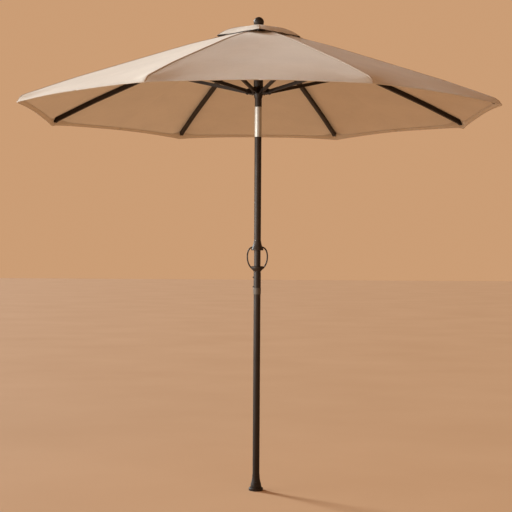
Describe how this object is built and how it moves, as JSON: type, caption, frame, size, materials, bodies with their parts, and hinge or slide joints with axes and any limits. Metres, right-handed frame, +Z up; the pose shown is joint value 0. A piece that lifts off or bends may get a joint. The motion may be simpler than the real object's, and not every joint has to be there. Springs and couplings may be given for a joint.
{
  "type": "patio umbrella",
  "caption": "Octagonal market umbrella with vent cap, folding ribs and struts, winch handle with two grip loops, two-part pole and small floor foot.",
  "frame": {"origin": "centre of the foot's underside", "axes": "+Z up along the pole, front towards -Y with a flat canopy edge facing it"},
  "size_m": [2.4944, 2.4944, 2.602],
  "materials": {
    "canvas": "matte woven",
    "bronze_paint": "satin powder coat",
    "grey_collar": "satin",
    "bare_aluminium": "satin anodised",
    "steel": "zinc plated",
    "black_plastic": "matte",
    "cord": "braided"
  },
  "bodies": {
    "mast": {"foot_flange": "bronze_paint", "foot_set_screw": "steel", "lower_pole": "bronze_paint", "pole_collar": "grey_collar", "pole_spigot": "steel", "snap_clips": "steel", "winch_housing": "bronze_paint", "winch_core": "steel", "brake_spring": "steel", "middle_pole": "bronze_paint", "bare_mast": "bare_aluminium", "top_mast": "bronze_paint", "mast_joiners": "steel", "lift_cord": "cord", "crown_hub": "bronze_paint", "crown_pins": "steel", "cap_washer": "steel", "finial_ball": "bronze_paint"},
    "runner": {"runner": "bronze_paint", "runner_liner": "black_plastic"},
    "handle": {"handle_bushes": "black_plastic", "handle_shell": "bronze_paint", "handle_loops": "bronze_paint", "handle_bell": "bronze_paint", "winch_spool": "black_plastic"},
    "pulley": {"crown_pulley": "black_plastic"},
    "button_upper": {"snap_button_upper": "black_plastic"},
    "button_lower": {"snap_button_lower": "black_plastic"},
    "rib_1": {"rib_1": "bronze_paint", "canopy_gore_1": "canvas"},
    "strut_1": {"strut_1": "bronze_paint"},
    "rib_2": {"rib_2": "bronze_paint", "canopy_gore_2": "canvas"},
    "strut_2": {"strut_2": "bronze_paint"},
    "rib_3": {"rib_3": "bronze_paint", "canopy_gore_3": "canvas"},
    "strut_3": {"strut_3": "bronze_paint"},
    "rib_4": {"rib_4": "bronze_paint", "canopy_gore_4": "canvas"},
    "strut_4": {"strut_4": "bronze_paint"},
    "rib_5": {"rib_5": "bronze_paint", "canopy_gore_5": "canvas"},
    "strut_5": {"strut_5": "bronze_paint"},
    "rib_6": {"rib_6": "bronze_paint", "canopy_gore_6": "canvas"},
    "strut_6": {"strut_6": "bronze_paint"},
    "rib_7": {"rib_7": "bronze_paint", "canopy_gore_7": "canvas"},
    "strut_7": {"strut_7": "bronze_paint"},
    "rib_8": {"rib_8": "bronze_paint", "canopy_gore_8": "canvas"},
    "strut_8": {"strut_8": "bronze_paint"},
    "vent_1": {"vent_arm_1": "bronze_paint", "vent_gore_1": "canvas"},
    "vent_2": {"vent_arm_2": "bronze_paint", "vent_gore_2": "canvas"},
    "vent_3": {"vent_arm_3": "bronze_paint", "vent_gore_3": "canvas"},
    "vent_4": {"vent_arm_4": "bronze_paint", "vent_gore_4": "canvas"}
  },
  "joints": [
    {"name": "runner_slide", "type": "slide", "parent": "mast", "child": "runner", "axis": [0, 0, -1], "range_m": [0, 0.781], "deforming": ["lift_cord"]},
    {"name": "rib_1_fold", "type": "hinge", "parent": "mast", "child": "rib_1", "pos_m": [0.04157, 0.01722, 2.506], "axis": [-0.3827, 0.9239, 0], "range_deg": [0, 65.62], "deforming": ["canopy_gore_1"]},
    {"name": "strut_1_fold", "type": "hinge", "parent": "rib_1", "child": "strut_1", "pos_m": [0.53562, 0.22186, 2.31677], "axis": [0.3827, -0.9239, 0], "range_deg": [0, 138.27]},
    {"name": "rib_2_fold", "type": "hinge", "parent": "mast", "child": "rib_2", "pos_m": [0.01722, 0.04157, 2.506], "axis": [-0.9239, 0.3827, 0], "range_deg": [0, 65.62], "deforming": ["canopy_gore_2"]},
    {"name": "strut_2_fold", "type": "hinge", "parent": "rib_2", "child": "strut_2", "pos_m": [0.22186, 0.53562, 2.31677], "axis": [0.9239, -0.3827, 0], "range_deg": [0, 138.27]},
    {"name": "rib_3_fold", "type": "hinge", "parent": "mast", "child": "rib_3", "pos_m": [-0.01722, 0.04157, 2.506], "axis": [-0.9239, -0.3827, 0], "range_deg": [0, 65.62], "deforming": ["canopy_gore_3"]},
    {"name": "strut_3_fold", "type": "hinge", "parent": "rib_3", "child": "strut_3", "pos_m": [-0.22186, 0.53562, 2.31677], "axis": [0.9239, 0.3827, 0], "range_deg": [0, 138.27]},
    {"name": "rib_4_fold", "type": "hinge", "parent": "mast", "child": "rib_4", "pos_m": [-0.04157, 0.01722, 2.506], "axis": [-0.3827, -0.9239, 0], "range_deg": [0, 65.62], "deforming": ["canopy_gore_4"]},
    {"name": "strut_4_fold", "type": "hinge", "parent": "rib_4", "child": "strut_4", "pos_m": [-0.53562, 0.22186, 2.31677], "axis": [0.3827, 0.9239, 0], "range_deg": [0, 138.27]},
    {"name": "rib_5_fold", "type": "hinge", "parent": "mast", "child": "rib_5", "pos_m": [-0.04157, -0.01722, 2.506], "axis": [0.3827, -0.9239, 0], "range_deg": [0, 65.62], "deforming": ["canopy_gore_5"]},
    {"name": "strut_5_fold", "type": "hinge", "parent": "rib_5", "child": "strut_5", "pos_m": [-0.53562, -0.22186, 2.31677], "axis": [-0.3827, 0.9239, 0], "range_deg": [0, 138.27]},
    {"name": "rib_6_fold", "type": "hinge", "parent": "mast", "child": "rib_6", "pos_m": [-0.01722, -0.04157, 2.506], "axis": [0.9239, -0.3827, 0], "range_deg": [0, 65.62], "deforming": ["canopy_gore_6"]},
    {"name": "strut_6_fold", "type": "hinge", "parent": "rib_6", "child": "strut_6", "pos_m": [-0.22186, -0.53562, 2.31677], "axis": [-0.9239, 0.3827, 0], "range_deg": [0, 138.27]},
    {"name": "rib_7_fold", "type": "hinge", "parent": "mast", "child": "rib_7", "pos_m": [0.01722, -0.04157, 2.506], "axis": [0.9239, 0.3827, 0], "range_deg": [0, 65.62], "deforming": ["canopy_gore_7"]},
    {"name": "strut_7_fold", "type": "hinge", "parent": "rib_7", "child": "strut_7", "pos_m": [0.22186, -0.53562, 2.31677], "axis": [-0.9239, -0.3827, 0], "range_deg": [0, 138.27]},
    {"name": "rib_8_fold", "type": "hinge", "parent": "mast", "child": "rib_8", "pos_m": [0.04157, -0.01722, 2.506], "axis": [0.3827, 0.9239, 0], "range_deg": [0, 65.62], "deforming": ["canopy_gore_8"]},
    {"name": "strut_8_fold", "type": "hinge", "parent": "rib_8", "child": "strut_8", "pos_m": [0.53562, -0.22186, 2.31677], "axis": [-0.3827, -0.9239, 0], "range_deg": [0, 138.27]},
    {"name": "vent_1_fold", "type": "hinge", "parent": "mast", "child": "vent_1", "pos_m": [0.04, 0, 2.541], "axis": [0, 1, 0], "range_deg": [0, 45.2], "deforming": ["vent_gore_1"]},
    {"name": "vent_2_fold", "type": "hinge", "parent": "mast", "child": "vent_2", "pos_m": [0, 0.04, 2.541], "axis": [-1, 0, 0], "range_deg": [0, 45.2], "deforming": ["vent_gore_2"]},
    {"name": "vent_3_fold", "type": "hinge", "parent": "mast", "child": "vent_3", "pos_m": [-0.04, 0, 2.541], "axis": [0, -1, 0], "range_deg": [0, 45.2], "deforming": ["vent_gore_3"]},
    {"name": "vent_4_fold", "type": "hinge", "parent": "mast", "child": "vent_4", "pos_m": [0, -0.04, 2.541], "axis": [1, 0, 0], "range_deg": [0, 45.2], "deforming": ["vent_gore_4"]},
    {"name": "handle_turn", "type": "hinge", "parent": "mast", "child": "handle", "pos_m": [0, 0, 1.28], "axis": [0, 0, 1], "range_deg": [0, 3580.04]},
    {"name": "pulley_turn", "type": "hinge", "parent": "mast", "child": "pulley", "pos_m": [0, -0.01, 2.468], "axis": [1, 0, 0], "range_deg": [0, 3580.04]},
    {"name": "button_upper_push", "type": "slide", "parent": "mast", "child": "button_upper", "axis": [1, 0, 0], "range_m": [0, 0.0045], "stiffness_N_per_m": 600, "springref_m": -0.003, "deforming": ["snap_clips"]},
    {"name": "button_lower_push", "type": "slide", "parent": "mast", "child": "button_lower", "axis": [1, 0, 0], "range_m": [0, 0.0045], "stiffness_N_per_m": 600, "springref_m": -0.003}
  ],
  "couplings": [
    {"joint": "rib_1_fold", "follows": "runner_slide", "rad_per_m": 1.4619},
    {"joint": "strut_1_fold", "follows": "runner_slide", "rad_per_m": 3.0855},
    {"joint": "rib_2_fold", "follows": "runner_slide", "rad_per_m": 1.4619},
    {"joint": "strut_2_fold", "follows": "runner_slide", "rad_per_m": 3.0855},
    {"joint": "rib_3_fold", "follows": "runner_slide", "rad_per_m": 1.4619},
    {"joint": "strut_3_fold", "follows": "runner_slide", "rad_per_m": 3.0855},
    {"joint": "rib_4_fold", "follows": "runner_slide", "rad_per_m": 1.4619},
    {"joint": "strut_4_fold", "follows": "runner_slide", "rad_per_m": 3.0855},
    {"joint": "rib_5_fold", "follows": "runner_slide", "rad_per_m": 1.4619},
    {"joint": "strut_5_fold", "follows": "runner_slide", "rad_per_m": 3.0855},
    {"joint": "rib_6_fold", "follows": "runner_slide", "rad_per_m": 1.4619},
    {"joint": "strut_6_fold", "follows": "runner_slide", "rad_per_m": 3.0855},
    {"joint": "rib_7_fold", "follows": "runner_slide", "rad_per_m": 1.4619},
    {"joint": "strut_7_fold", "follows": "runner_slide", "rad_per_m": 3.0855},
    {"joint": "rib_8_fold", "follows": "runner_slide", "rad_per_m": 1.4619},
    {"joint": "strut_8_fold", "follows": "runner_slide", "rad_per_m": 3.0855},
    {"joint": "vent_1_fold", "follows": "runner_slide", "rad_per_m": 1.0056},
    {"joint": "vent_2_fold", "follows": "runner_slide", "rad_per_m": 1.0056},
    {"joint": "vent_3_fold", "follows": "runner_slide", "rad_per_m": 1.0056},
    {"joint": "vent_4_fold", "follows": "runner_slide", "rad_per_m": 1.0056},
    {"joint": "handle_turn", "follows": "runner_slide", "rad_per_m": 80},
    {"joint": "pulley_turn", "follows": "runner_slide", "rad_per_m": 80}
  ]
}
